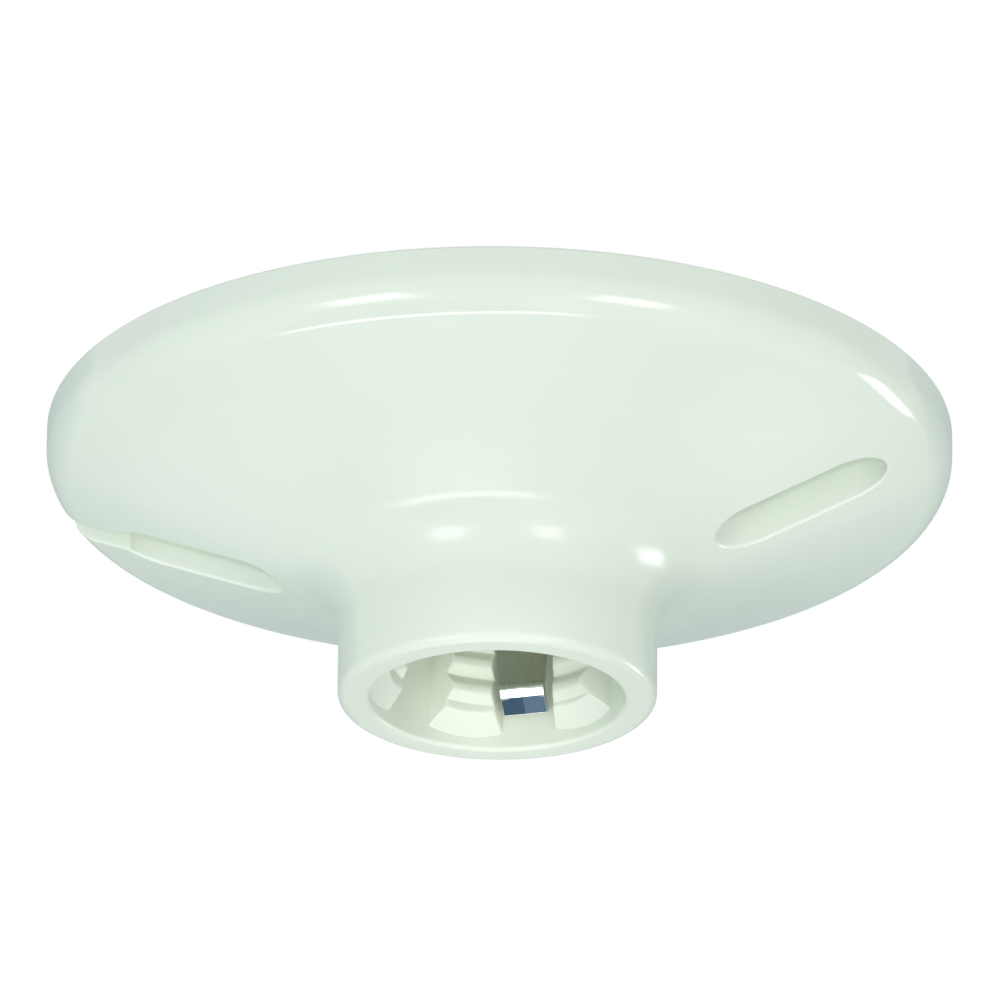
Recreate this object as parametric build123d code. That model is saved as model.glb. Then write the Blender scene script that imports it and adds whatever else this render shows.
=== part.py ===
from build123d import *
import os
from math import atan, cos, degrees, hypot, pi, radians, sin, sqrt, tan

# Ceiling lamp holder with a screw-in lamp socket, in millimetres.
# The origin is the centre of the back face and +Z points up to the ceiling.
# The fixing slots lie along X and the side contact is at +Y.

# Plate, rim and the sloped face between rim and collar
plate_radius = 57.15
rim_depth = 6.6
rim_round = 5.0
rim_thickness = 3.5
face_angle = 21.0
shell_thickness = 3.2

# Collar and socket well
collar_radius = 20.0
collar_round = 9.0
mouth_depth = 36.4
lip_round = 1.2
lip_chamfer = 0.4
bore_radius = 16.0
socket_floor_depth = 9.0
well_back_depth = 4.0
well_radius = 19.5

# Fixing slots: a screw-head pocket below a narrower screw slot, one of them open to the rim by a neck
slot_centre = 39.2
slot_run = 11.9
pocket_width = 9.7
pocket_floor = 3.0
slot_edge_chamfer = 0.35
screw_slot_width = 5.6
neck_width = 5.2
neck_corner_round = 0.6
boss_wall = 2.2

# Stiffening ribs behind the face
rib_count = 4
rib_first_angle = 45.0
rib_thickness = 2.0
rib_back_depth = 6.0

# Moulded thread pads inside the collar
pad_count = 6
pad_first_angle = -60.0
pad_width_angle = 35.3
pad_side_angle = 38.0
lead_in_setback = 1.6
lead_in_angle = 48.5
thread_pitch = 3.629
thread_crest_radius = 12.45
thread_height = 0.95
thread_crest_width = 1.05
thread_flank_run = 1.2
thread_start_setback = 5.04
ridge_count = 5
pad_sweep_angle = 60.0

# Contact strips
strip_thickness = 0.8
strip_bend = 1.2
strip_wall_gap = 0.8
side_strip_width = 6.4
side_strip_end_width = 5.6
side_straight_depth = 14.0
kink_inset = 2.9
kink_setback = 6.8
kink_turn_inset = 2.12
kink_turn_setback = 5.54
strip_end_inset = 0.33
strip_end_setback = 3.98
centre_strip_width = 6.0
leaf_root_radius = 9.0
leaf_tip_half_length = 2.8
leaf_lift = 2.6
leaf_toe_length = 2.2
leaf_toe_lift = 0.8
contact_slot_side_gap = 0.3
contact_slot_back_gap = 0.2

# Terminal plates on the back of the well, part of each contact strip
plate_half_width = 4.0
rivet_end_margin = 3.2
screw_end_margin = 4.2
plate_corner_round = 1.5
terminal_collar_wall = 0.7
terminal_collar_height = 1.2

# Terminal screws
screw_x = 8.5
screw_shank_radius = 2.08
screw_thread_gap = 0.05
screw_length = 4.4
screw_head_radius = 3.8
screw_head_height = 2.2
screw_head_chamfer = 0.6
screw_drive_width = 1.1
screw_drive_depth = 1.1
screw_well_gap = 0.3
screw_well_depth = 3.8

# Hollow rivets that hold the contacts
rivet_radius = 1.6
rivet_hole_radius = 0.9
rivet_head_radius = 2.4
rivet_head_height = 0.8
rivet_head_chamfer = 0.4
rivet_strip_gap = 0.2
rivet_pad_gap = 0.3

merge_depth = 0.8
cut_margin = 1.0
edge_tolerance = 0.01

rim_inner = plate_radius - rim_thickness
strip_back = bore_radius - strip_wall_gap
strip_face = strip_back - strip_thickness
well_back = -well_back_depth
socket_floor = -socket_floor_depth
plate_top = well_back + strip_thickness
thread_root_radius = thread_crest_radius + thread_height
rivet_circle = thread_root_radius - rivet_pad_gap - rivet_head_radius
rivet_x = side_strip_width / 2 + rivet_strip_gap + rivet_head_radius
terminal_row_y = sqrt(rivet_circle**2 - rivet_x**2)
plate_near_edge = terminal_row_y - plate_half_width
thread_hole_radius = screw_shank_radius + screw_thread_gap
terminal_collar_radius = thread_hole_radius + terminal_collar_wall


def face_depth(radius):
    return rim_depth + (plate_radius - radius) * tan(radians(face_angle))


def inner_depth(radius):
    return face_depth(radius) - shell_thickness / cos(radians(face_angle))


def turned(outline):
    return revolve(Plane.XZ * make_face(outline), axis=Axis.Z)


def upright(sketch, low, high):
    return extrude(Pos(0, 0, low) * sketch, amount=high - low)


# The space behind the middle of the shell wall, used to trim what stands on the back of the face
def backing_envelope():
    rim_middle = (plate_radius + rim_inner) / 2
    rim_end = -(face_depth(rim_middle) + inner_depth(rim_middle)) / 2
    well_end = -(face_depth(well_radius) + inner_depth(well_radius)) / 2
    points = [(0, 0), (rim_middle, 0), (rim_middle, rim_end), (well_radius, well_end), (0, well_end)]
    return turned(Polyline(*points, close=True))


def turned_shell():
    points = [
        (plate_radius, 0),
        (plate_radius, -rim_depth),
        (collar_radius, -face_depth(collar_radius)),
        (collar_radius, -mouth_depth),
        (bore_radius + lip_chamfer, -mouth_depth),
        (bore_radius, lip_chamfer - mouth_depth),
        (bore_radius, socket_floor),
        (0, socket_floor),
        (0, well_back),
        (well_radius, well_back),
        (well_radius, -inner_depth(well_radius)),
        (rim_inner, -inner_depth(rim_inner)),
        (rim_inner, 0),
    ]
    corner_rounds = {1: rim_round, 2: collar_round, 3: lip_round}
    rounds = [corner_rounds.get(index, 0) for index in range(len(points))]
    return turned(FilletPolyline(*points, radius=rounds, close=True))


# Outline of the neck beside a slot that runs along +X about its own centre
def neck_outline():
    start = slot_run / 2
    reach = plate_radius + cut_margin - slot_centre
    return Pos((start + reach) / 2, 0) * Rectangle(reach - start, neck_width)


# Pocket outline that runs out through the neck, with its inner corners eased
def open_pocket_outline():
    outline = SlotCenterToCenter(slot_run, pocket_width) + neck_outline()
    reach = outline.bounding_box().max.X - edge_tolerance
    corners = [v for v in outline.vertices() if slot_run / 2 + edge_tolerance < v.X < reach]
    return fillet(corners, neck_corner_round)


# Solid block around one slot, reaching from the face to the back and out to the rim
def slot_boss(side):
    width = pocket_width + 2 * boss_wall
    reach = rim_inner + merge_depth - slot_centre
    outline = SlotCenterToCenter(slot_run, width) + Pos(reach / 2, 0) * Rectangle(reach, width)
    block = upright(Pos(slot_centre, 0) * outline, -mouth_depth, 0)
    return Rot(0, 0, side) * block


def slot_cut(side, pocket_outline, screw_outline):
    pocket = upright(pocket_outline, -mouth_depth, -pocket_floor)
    screw_slot = upright(screw_outline, -pocket_floor - cut_margin, cut_margin)
    return Rot(0, 0, side) * Pos(slot_centre, 0, 0) * (pocket + screw_slot)


def slot_cuts():
    pocket = SlotCenterToCenter(slot_run, pocket_width)
    screw_slot = SlotCenterToCenter(slot_run, screw_slot_width)
    closed_slot = slot_cut(0, pocket, screw_slot)
    return closed_slot + slot_cut(180, open_pocket_outline(), screw_slot + neck_outline())


def rib(angle):
    start = well_radius - merge_depth
    length = rim_inner + merge_depth - start
    outline = Pos(start + length / 2, 0) * Rectangle(length, rib_thickness)
    return Rot(0, 0, angle) * upright(outline, -mouth_depth, -rib_back_depth)


# Trapezoid seen along the socket, widest at the bore wall
def pad_outline():
    half_angle = radians(pad_width_angle / 2)
    wall_x = bore_radius * cos(half_angle)
    wall_y = bore_radius * sin(half_angle)
    spread = tan(radians(pad_side_angle))
    near_x = thread_crest_radius - cut_margin
    far_x = bore_radius + merge_depth
    near_y = wall_y - (wall_x - near_x) * spread
    far_y = wall_y + (far_x - wall_x) * spread
    corners = [(near_x, near_y), (far_x, far_y), (far_x, -far_y), (near_x, -near_y)]
    return make_face(Polyline(*corners, close=True))


# Toothed band whose inner side carries the thread ridges of one pad
def ridge_band(first_crest):
    far_x = bore_radius + 2 * merge_depth
    half_crest = thread_crest_width / 2
    half_foot = half_crest + thread_flank_run
    points = [(far_x, -mouth_depth), (thread_root_radius, -mouth_depth)]
    for turn in range(ridge_count):
        crest = first_crest + turn * thread_pitch
        points += [
            (thread_root_radius, crest - half_foot),
            (thread_crest_radius, crest - half_crest),
            (thread_crest_radius, crest + half_crest),
            (thread_root_radius, crest + half_foot),
        ]
    points += [(thread_root_radius, 0), (far_x, 0)]
    section = Plane.XZ * make_face(Polyline(*points, close=True))
    band = revolve(section, axis=Axis.Z, revolution_arc=pad_sweep_angle)
    band = Rot(0, 0, -pad_sweep_angle / 2) * band
    lead = degrees(atan(thread_pitch / (2 * pi * thread_crest_radius)))
    middle = first_crest + (ridge_count - 1) * thread_pitch / 2
    return Pos(0, 0, middle) * Rot(lead, 0, 0) * Pos(0, 0, -middle) * band


# Flat sloped facet at the mouth end of a pad
def lead_in_cut():
    rise = 1 / tan(radians(lead_in_angle))
    near_x = thread_crest_radius - 2 * cut_margin
    far_x = bore_radius + 2 * merge_depth
    low = -mouth_depth - cut_margin
    start = lead_in_setback - mouth_depth
    near_z = start + (bore_radius - near_x) * rise
    far_z = start + (bore_radius - far_x) * rise
    outline = Polyline((near_x, near_z), (far_x, far_z), (far_x, low), (near_x, low), close=True)
    return extrude(Plane.XZ * make_face(outline), amount=bore_radius, both=True)


def thread_pad(index):
    first_crest = thread_start_setback - mouth_depth + index * thread_pitch / pad_count
    column = upright(pad_outline(), -mouth_depth, socket_floor + merge_depth)
    pad = (column & ridge_band(first_crest)) - lead_in_cut()
    return Rot(0, 0, pad_first_angle + index * 360 / pad_count) * pad


# Openings through the well floor for one contact, its rivet and its screw
def contact_openings(strip_width, side):
    inner = strip_face - strip_bend - contact_slot_back_gap
    outer = strip_back + contact_slot_back_gap
    slot = Rectangle(strip_width + 2 * contact_slot_side_gap, outer - inner)
    low = socket_floor - cut_margin
    openings = upright(Pos(0, (inner + outer) / 2) * slot, low, 0)
    openings += upright(Pos(-rivet_x, terminal_row_y) * Circle(rivet_radius), low, 0)
    screw_well = Circle(terminal_collar_radius + screw_well_gap)
    openings += upright(Pos(screw_x, terminal_row_y) * screw_well, well_back - screw_well_depth, 0)
    return Rot(0, 0, side) * openings


# Edges of the slots and the neck that lie on the sloped face
def face_opening_edges(body):
    edges = ShapeList()
    for edge in body.edges():
        middle = edge @ 0.5
        depth = face_depth(hypot(middle.X, middle.Y))
        if abs(middle.Y) < pocket_width and abs(middle.Z + depth) < edge_tolerance:
            edges.append(edge)
    return edges


def holder_body():
    backing = slot_boss(0) + slot_boss(180)
    for index in range(rib_count):
        backing += rib(rib_first_angle + index * 360 / rib_count)
    body = turned_shell() + (backing & backing_envelope())
    body -= slot_cuts()
    body = chamfer(face_opening_edges(body), slot_edge_chamfer)
    for index in range(pad_count):
        body += thread_pad(index)
    body -= contact_openings(side_strip_width, 0)
    body -= contact_openings(centre_strip_width, 180)
    return body


# Strip of one thickness folded along a path that runs in the YZ plane
def folded_strip(points, width):
    path = FilletPolyline(*points, radius=strip_bend)
    section = make_face(offset(path, strip_thickness, side=Side.LEFT, closed=True))
    return extrude(Plane.YZ * section, amount=width / 2, both=True)


# Flat plate with a drawn collar for the terminal screw and a rivet hole
def terminal_plate():
    rivet_end = -rivet_x - rivet_end_margin
    screw_end = screw_x + screw_end_margin
    outline = RectangleRounded(screw_end - rivet_end, 2 * plate_half_width, plate_corner_round)
    middle_x = (rivet_end + screw_end) / 2
    plate = upright(Pos(middle_x, terminal_row_y) * outline, well_back, plate_top)
    collar = Pos(screw_x, terminal_row_y) * Circle(terminal_collar_radius)
    return plate + upright(collar, well_back - terminal_collar_height, plate_top)


def plate_holes():
    thread_hole = upright(Pos(screw_x, terminal_row_y) * Circle(thread_hole_radius), socket_floor, 0)
    rivet_hole = upright(Pos(-rivet_x, terminal_row_y) * Circle(rivet_radius), socket_floor, 0)
    return thread_hole + rivet_hole


def side_strip_outline():
    half = side_strip_width / 2
    half_end = side_strip_end_width / 2
    low = strip_end_setback - mouth_depth - cut_margin
    corners = [(half, 0), (half, -side_straight_depth), (half_end, low)]
    mirrored = [(-x, z) for x, z in reversed(corners)]
    return make_face(Polyline(*corners, *mirrored, close=True))


def side_contact():
    points = [
        (plate_near_edge + cut_margin, well_back),
        (strip_face, well_back),
        (strip_face, -side_straight_depth),
        (strip_face - kink_inset, kink_setback - mouth_depth),
        (strip_face - kink_turn_inset, kink_turn_setback - mouth_depth),
        (strip_face - strip_end_inset, strip_end_setback - mouth_depth),
    ]
    strip = folded_strip(points, side_strip_width)
    strip &= extrude(Plane.XZ * side_strip_outline(), amount=-2 * bore_radius)
    return strip + terminal_plate() - plate_holes()


def centre_contact():
    tip = socket_floor - leaf_lift
    points = [
        (plate_near_edge + cut_margin, well_back),
        (strip_face, well_back),
        (strip_face, socket_floor),
        (leaf_root_radius, socket_floor),
        (leaf_tip_half_length, tip),
        (-leaf_tip_half_length, tip),
        (-leaf_tip_half_length - leaf_toe_length, tip + leaf_toe_lift),
    ]
    strip = folded_strip(points, centre_strip_width)
    return Rot(0, 0, 180) * (strip + terminal_plate() - plate_holes())


def terminal_screw(side):
    head = Pos(0, 0, screw_head_height / 2) * Cylinder(screw_head_radius, screw_head_height)
    head = chamfer(head.edges().group_by(Axis.Z)[-1], screw_head_chamfer)
    drive = Box(3 * screw_head_radius, screw_drive_width, 2 * screw_drive_depth)
    head -= Pos(0, 0, screw_head_height) * drive
    shank = Pos(0, 0, -screw_length / 2) * Cylinder(screw_shank_radius, screw_length)
    return Rot(0, 0, side) * Pos(screw_x, terminal_row_y, plate_top) * (head + shank)


def contact_rivet(side):
    top = plate_top + rivet_head_height
    low = socket_floor - rivet_head_height
    chamfered = rivet_head_radius - rivet_head_chamfer
    points = [
        (rivet_hole_radius, low),
        (chamfered, low),
        (rivet_head_radius, low + rivet_head_chamfer),
        (rivet_head_radius, socket_floor),
        (rivet_radius, socket_floor),
        (rivet_radius, plate_top),
        (rivet_head_radius, plate_top),
        (rivet_head_radius, top - rivet_head_chamfer),
        (chamfered, top),
        (rivet_hole_radius, top),
    ]
    rivet = turned(Polyline(*points, close=True))
    return Rot(0, 0, side) * Pos(-rivet_x, terminal_row_y, 0) * rivet


pieces = {
    "holder_body": holder_body(),
    "side_contact": side_contact(),
    "centre_contact": centre_contact(),
    "neutral_terminal_screw": terminal_screw(0),
    "hot_terminal_screw": terminal_screw(180),
    "side_contact_rivet": contact_rivet(0),
    "centre_contact_rivet": contact_rivet(180),
}

os.makedirs("parts", exist_ok=True)
for name, piece in pieces.items():
    export_step(piece, f"parts/{name}.step")
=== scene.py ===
import math

import bmesh
import bpy
from mathutils import Matrix, Quaternion, Vector


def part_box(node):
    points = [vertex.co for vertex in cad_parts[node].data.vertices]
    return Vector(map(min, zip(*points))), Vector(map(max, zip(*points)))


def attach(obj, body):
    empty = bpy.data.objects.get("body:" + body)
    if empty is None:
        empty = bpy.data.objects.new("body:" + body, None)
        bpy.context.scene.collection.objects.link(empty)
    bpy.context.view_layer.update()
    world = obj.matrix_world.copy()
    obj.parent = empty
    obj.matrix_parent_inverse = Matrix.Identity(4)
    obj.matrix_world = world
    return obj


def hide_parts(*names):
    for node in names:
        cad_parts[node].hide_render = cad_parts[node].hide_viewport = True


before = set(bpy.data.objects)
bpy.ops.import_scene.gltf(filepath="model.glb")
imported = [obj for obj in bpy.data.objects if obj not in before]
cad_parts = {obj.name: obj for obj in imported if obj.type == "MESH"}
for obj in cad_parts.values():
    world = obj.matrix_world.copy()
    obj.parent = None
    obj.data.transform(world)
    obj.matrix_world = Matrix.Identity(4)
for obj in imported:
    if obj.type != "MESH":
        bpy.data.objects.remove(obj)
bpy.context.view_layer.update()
holderLow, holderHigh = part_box("holder_body")
print("frame loaded")

mm = 0.001
near = 0.02 * mm            # a point this close counts as being there
weld = 0.0005 * mm
halfTurn = math.pi


def openMesh(piece):
    bpy.ops.object.select_all(action="DESELECT")
    piece.select_set(True)
    bpy.context.view_layer.objects.active = piece
    bpy.ops.object.mode_set(mode="EDIT")
    bpy.ops.mesh.select_mode(type="VERT")


def closeMesh():
    bpy.ops.object.mode_set(mode="OBJECT")


def pick(piece, kind, test):        # the test gets the corners of each vertex, edge or face
    bpy.ops.mesh.select_mode(type=kind)
    bpy.ops.mesh.select_all(action="DESELECT")
    form = bmesh.from_edit_mesh(piece.data)
    parts = {"VERT": form.verts, "EDGE": form.edges, "FACE": form.faces}[kind]
    for part in parts:
        corners = [part.co] if kind == "VERT" else [corner.co for corner in part.verts]
        if test(corners):
            part.select_set(True)
    form.select_flush_mode()
    bmesh.update_edit_mesh(piece.data)


def onRing(radius, height):
    def test(corners):
        level = all(abs(corner.z - height) < near for corner in corners)
        return level and all(abs(math.hypot(corner.x, corner.y) - radius) < near for corner in corners)
    return test


def atHeight(height, side=0):       # side +1 or -1 keeps only that half along X
    def test(corners):
        return all(abs(corner.z - height) < near and corner.x * side >= 0 for corner in corners)
    return test


def tidyMesh():
    bpy.ops.mesh.select_all(action="SELECT")
    bpy.ops.mesh.remove_doubles(threshold=weld)
    bpy.ops.mesh.normals_make_consistent(inside=False)


def settle(piece, move):            # the place goes into the mesh, the object stays at the origin
    piece.matrix_world = move
    bpy.ops.object.select_all(action="DESELECT")
    piece.select_set(True)
    bpy.context.view_layer.objects.active = piece
    bpy.ops.object.transform_apply(location=True, rotation=True, scale=True)


def shifted(x, y, z):
    return Matrix.Translation((x, y, z))


def turnedBy(angle):
    return Matrix.Rotation(angle, 4, "Z")


def applyChange(piece, change):
    bpy.ops.object.select_all(action="DESELECT")
    piece.select_set(True)
    bpy.context.view_layer.objects.active = piece
    bpy.ops.object.modifier_apply(modifier=change.name)


def combine(piece, tool, way):
    change = piece.modifiers.new("combine", "BOOLEAN")
    change.operation = way
    change.object = tool
    change.solver = "EXACT"
    applyChange(piece, change)
    bpy.data.objects.remove(tool, do_unlink=True)


def easeEdges(piece, width, segments, angle):
    change = piece.modifiers.new("ease", "BEVEL")
    change.width = width
    change.segments = segments
    change.limit_method = "ANGLE"
    change.angle_limit = angle
    change.use_clamp_overlap = False
    applyChange(piece, change)


def smoothShade(piece, angle):
    bpy.ops.object.select_all(action="DESELECT")
    piece.select_set(True)
    bpy.context.view_layer.objects.active = piece
    bpy.ops.object.shade_smooth_by_angle(angle=angle)


def evenShade(piece):                   # wide flats keep their own direction beside small rounds
    change = piece.modifiers.new("even", "WEIGHTED_NORMAL")
    change.keep_sharp = True
    applyChange(piece, change)


def roundCorner(radius, turn, segments):        # true arc for edges that turn by this angle
    half = math.cos(turn / 2)
    share = half / (1 + half)
    profile = ((1 + share) / 2) ** 2
    bpy.ops.mesh.bevel(
        offset=radius * math.tan(turn / 2), offset_type="OFFSET", segments=segments,
        profile=profile, affect="EDGES", clamp_overlap=False,
    )


def turnRings(name, rings, steps, closed=False):    # a ring of edges drawn out from ring to ring
    radius, height = rings[0]
    fill = "NOTHING" if closed else "TRIFAN"
    bpy.ops.mesh.primitive_circle_add(vertices=steps, radius=radius, fill_type=fill)
    piece = bpy.context.active_object
    piece.name = name
    settle(piece, shifted(0, 0, height))
    openMesh(piece)
    pick(piece, "EDGE", onRing(radius, height))
    for nextRadius, nextHeight in rings[1:]:
        growth = nextRadius / radius
        bpy.ops.mesh.extrude_edges_move(TRANSFORM_OT_translate={"value": (0, 0, nextHeight - height)})
        bpy.ops.transform.resize(value=(growth, growth, 1), center_override=(0, 0, 0))
        radius, height = nextRadius, nextHeight
    if not closed:
        bpy.ops.mesh.extrude_edges_move()
        bpy.ops.mesh.merge(type="CENTER")
    tidyMesh()
    closeMesh()
    return piece


def drawLine(name, points, filled):     # one point drawn out from place to place
    bpy.ops.mesh.primitive_plane_add(size=mm)
    piece = bpy.context.active_object
    piece.name = name
    openMesh(piece)
    bpy.ops.mesh.select_all(action="SELECT")
    bpy.ops.mesh.merge(type="CENTER")
    bpy.ops.transform.translate(value=points[0])
    for start, end in zip(points, points[1:]):
        step = Vector(end) - Vector(start)
        bpy.ops.mesh.extrude_region_move(TRANSFORM_OT_translate={"value": step})
    if filled:
        bpy.ops.mesh.select_all(action="SELECT")
        bpy.ops.mesh.edge_face_add()
    closeMesh()
    return piece


def thicken(piece, rise):               # draws the whole flat outline up into a block
    openMesh(piece)
    bpy.ops.mesh.select_all(action="SELECT")
    bpy.ops.mesh.extrude_region_move(TRANSFORM_OT_translate={"value": (0, 0, rise)})
    tidyMesh()
    closeMesh()


def cutAway(piece, place, normal):        # what lies on the normal's side goes, the cut is closed
    openMesh(piece)
    bpy.ops.mesh.select_all(action="SELECT")
    bpy.ops.mesh.bisect(plane_co=place, plane_no=normal, use_fill=True, clear_outer=True, threshold=weld)
    tidyMesh()
    closeMesh()


# moulded holder: rim, sloped face, collar and well, drawn out ring by ring
holder = {
    "radius": holderHigh.x, "rimDepth": 6.6 * mm, "rimRound": 5 * mm, "rimWall": 3.5 * mm,
    "faceAngle": math.radians(21), "wall": 3.2 * mm, "collarRadius": 20 * mm, "collarRound": 9 * mm,
    "mouth": -holderLow.z, "lipRound": 1.2 * mm, "lipInnerRound": 0.6 * mm, "bore": 16 * mm,
    "floorDepth": 9 * mm, "wellBack": 4 * mm, "wellRadius": 19.5 * mm, "backRound": 0.4 * mm,
    "innerRound": 1.2 * mm, "steps": 180, "smoothAngle": math.radians(31),
}
faceSlope = math.tan(holder["faceAngle"])
cornerTurn = math.radians(90) - holder["faceAngle"]
squareTurn = math.radians(90)
rimInner = holder["radius"] - holder["rimWall"]
wallRise = holder["wall"] / math.cos(holder["faceAngle"])
rimArcCentre = (
    holder["radius"] - holder["rimRound"],
    -holder["rimDepth"] + holder["rimRound"] * math.tan(cornerTurn / 2),
)


def faceHeight(radius):
    return -holder["rimDepth"] - (holder["radius"] - radius) * faceSlope


def innerHeight(radius):
    return faceHeight(radius) + wallRise


def skinHeight(radius):                 # the face, and the rim's round where it leaves the face
    arcRadius, arcHeight = rimArcCentre
    out = min(radius, holder["radius"]) - arcRadius
    if out < holder["rimRound"] * math.sin(holder["faceAngle"]):
        return faceHeight(radius)
    return arcHeight - math.sqrt(max(holder["rimRound"] ** 2 - out ** 2, 0))


def makeShell():
    bore = holder["bore"]
    mouth = -holder["mouth"]
    collarRadius = holder["collarRadius"]
    outer = holder["radius"]
    wellRadius = holder["wellRadius"]
    rings = [
        (bore, -holder["floorDepth"]),
        (bore, mouth),
        (collarRadius, mouth),
        (collarRadius, faceHeight(collarRadius)),
        (outer, -holder["rimDepth"]),
        (outer, 0),
        (rimInner, 0),
        (rimInner, innerHeight(rimInner)),
        (wellRadius, innerHeight(wellRadius)),
        (wellRadius, -holder["wellBack"]),
    ]
    shell = turnRings("moulded_holder", rings, holder["steps"])
    rounds = [      # ring, radius, turn, segments
        (rings[1], holder["lipInnerRound"], squareTurn, 3),
        (rings[2], holder["lipRound"], squareTurn, 6),
        (rings[3], holder["collarRound"], cornerTurn, 14),
        (rings[4], holder["rimRound"], cornerTurn, 14),
        (rings[5], holder["backRound"], squareTurn, 3),
        (rings[6], holder["backRound"], squareTurn, 3),
        (rings[7], holder["innerRound"], cornerTurn, 4),
        (rings[8], holder["innerRound"], cornerTurn, 4),
        (rings[9], holder["backRound"], squareTurn, 3),
    ]
    openMesh(shell)
    for ring, radius, turn, segments in rounds:
        pick(shell, "EDGE", onRing(*ring))
        roundCorner(radius, turn, segments)
    closeMesh()
    return shell


# bosses behind the slots, ribs across the hollow back
backing = {
    "bossHalf": 7.05 * mm, "bossTop": -0.03 * mm, "reach": 0.8 * mm, "ribThickness": 2 * mm,
    "ribTop": -6 * mm, "ribAngles": (45, 135, 225, 315), "steps": 48,
}
slots = {
    "centre": 39.2 * mm, "run": 11.9 * mm, "pocketHalf": 4.85 * mm, "pocketFloor": -3 * mm,
    "screwHalf": 2.8 * mm, "neckHalf": 2.6 * mm, "lipRound": 0.45 * mm, "lipAngles": (0, 20, 40, 60, 75),
    "lipPast": 0.12 * mm, "clear": 1 * mm, "floorStep": 3 * near, "levelStep": 1 * mm, "steps": 64,
    "neckStations": 22,
}


def stadium(name, half, run, height, steps):        # a circle whose two halves are moved apart
    bpy.ops.mesh.primitive_circle_add(vertices=steps, radius=half, fill_type="NGON")
    piece = bpy.context.active_object
    piece.name = name
    settle(piece, shifted(0, 0, height) @ turnedBy(halfTurn / steps))
    openMesh(piece)
    for side in (1, -1):
        pick(piece, "VERT", atHeight(height, side))
        bpy.ops.transform.translate(value=(side * run / 2, 0, 0))
    closeMesh()
    return piece


def midWall(radius):
    return (faceHeight(radius) + innerHeight(radius)) / 2


def trimAtWall(piece):                  # cuts off what would stand out of the sloped face
    start = holder["wellRadius"]
    down = Vector((faceSlope, 0, -1)).normalized()
    cutAway(piece, (start, 0, midWall(start)), down)


def makeBoss(turn):
    end = rimInner + backing["reach"]
    boss = stadium("slot boss", backing["bossHalf"], slots["run"], backing["bossTop"], backing["steps"])
    settle(boss, shifted(slots["centre"], 0, 0))
    openMesh(boss)
    pick(boss, "VERT", lambda corners: corners[0].x > slots["centre"])
    bpy.ops.transform.resize(value=(0, 1, 1), center_override=(end, 0, 0))
    closeMesh()
    thicken(boss, -holder["mouth"])
    trimAtWall(boss)
    settle(boss, turnedBy(turn))
    return boss


def makeRib(turn):
    start = holder["wellRadius"] - backing["reach"]
    end = rimInner + backing["reach"]
    half = backing["ribThickness"] / 2
    corners = [(start, -half, 0), (end, -half, 0), (end, half, 0), (start, half, 0)]
    rib = drawLine("back rib", corners, True)
    settle(rib, shifted(0, 0, backing["ribTop"]))
    thicken(rib, -holder["mouth"])
    trimAtWall(rib)
    settle(rib, turnedBy(turn))
    return rib


def flareRings():                       # growth and lift of a quarter round that runs out past the skin
    radius = slots["lipRound"]
    past = slots["lipPast"]
    rings = []
    for angle in slots["lipAngles"]:
        bend = math.radians(angle)
        rings.append((radius * (1 - math.cos(bend)), radius * (1 - math.sin(bend))))
    run = (rings[-1][1] + past) / math.tan(squareTurn - bend)
    rings.append((rings[-1][0] + run, -past))
    rings.append((rings[-1][0] + past, -slots["clear"]))
    return rings


def layOnSkin(piece, marks):            # each marked level is laid on the outer skin at its own lift
    for point in piece.data.vertices:
        for level, lift in marks:
            if abs(point.co.z - level) < near:
                point.co.z = skinHeight(math.hypot(point.co.x, point.co.y)) + lift
                break


def makeSlotCutter(side):               # screw slot, then the pocket, then its eased mouth
    level = slots["clear"]
    half = slots["screwHalf"]
    pocketHalf = slots["pocketHalf"]
    floor = slots["pocketFloor"]
    reach = slots["run"] / 2
    cutter = stadium("slot cutter", half, slots["run"], level, slots["steps"])
    stations = [(half, floor), (pocketHalf, floor - slots["floorStep"])]
    marks = []
    for index, (growth, lift) in enumerate(flareRings()):
        mark = floor - (index + 2) * slots["levelStep"]
        marks.append((mark, lift))
        stations.append((pocketHalf + growth, mark))
    openMesh(cutter)
    for nextHalf, nextLevel in stations:
        pick(cutter, "FACE", atHeight(level))
        bpy.ops.mesh.extrude_region_move(TRANSFORM_OT_translate={"value": (0, 0, nextLevel - level)})
        growth = nextHalf / half
        for end in (1, -1):
            pick(cutter, "VERT", atHeight(nextLevel, end))
            bpy.ops.transform.resize(value=(growth, growth, 1), center_override=(end * reach, 0, 0))
        level, half = nextLevel, nextHalf
    tidyMesh()
    closeMesh()
    settle(cutter, shifted(side * slots["centre"], 0, 0))
    layOnSkin(cutter, marks)
    return cutter


def makeNeckCutter():                   # slit from the open slot out through the rim, eased like the pocket
    level = slots["clear"]
    half = slots["neckHalf"]
    start = slots["centre"] + slots["run"] / 2
    length = holder["radius"] + level - start
    bpy.ops.mesh.primitive_grid_add(x_subdivisions=slots["neckStations"], y_subdivisions=1, size=1)
    cutter = bpy.context.active_object
    cutter.name = "neck cutter"
    middle = -start - length / 2
    settle(cutter, shifted(middle, 0, level) @ Matrix.Diagonal((length, 2 * half, 1, 1)))
    marks = []
    openMesh(cutter)
    for index, (growth, lift) in enumerate(flareRings()):
        nextLevel = -(index + 2) * slots["levelStep"]
        nextHalf = slots["neckHalf"] + growth
        marks.append((nextLevel, lift))
        pick(cutter, "FACE", atHeight(level))
        bpy.ops.mesh.extrude_region_move(TRANSFORM_OT_translate={"value": (0, 0, nextLevel - level)})
        pick(cutter, "VERT", atHeight(nextLevel))
        bpy.ops.transform.resize(value=(1, nextHalf / half, 1), center_override=(0, 0, 0))
        level, half = nextLevel, nextHalf
    tidyMesh()
    closeMesh()
    layOnSkin(cutter, marks)
    return cutter


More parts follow.
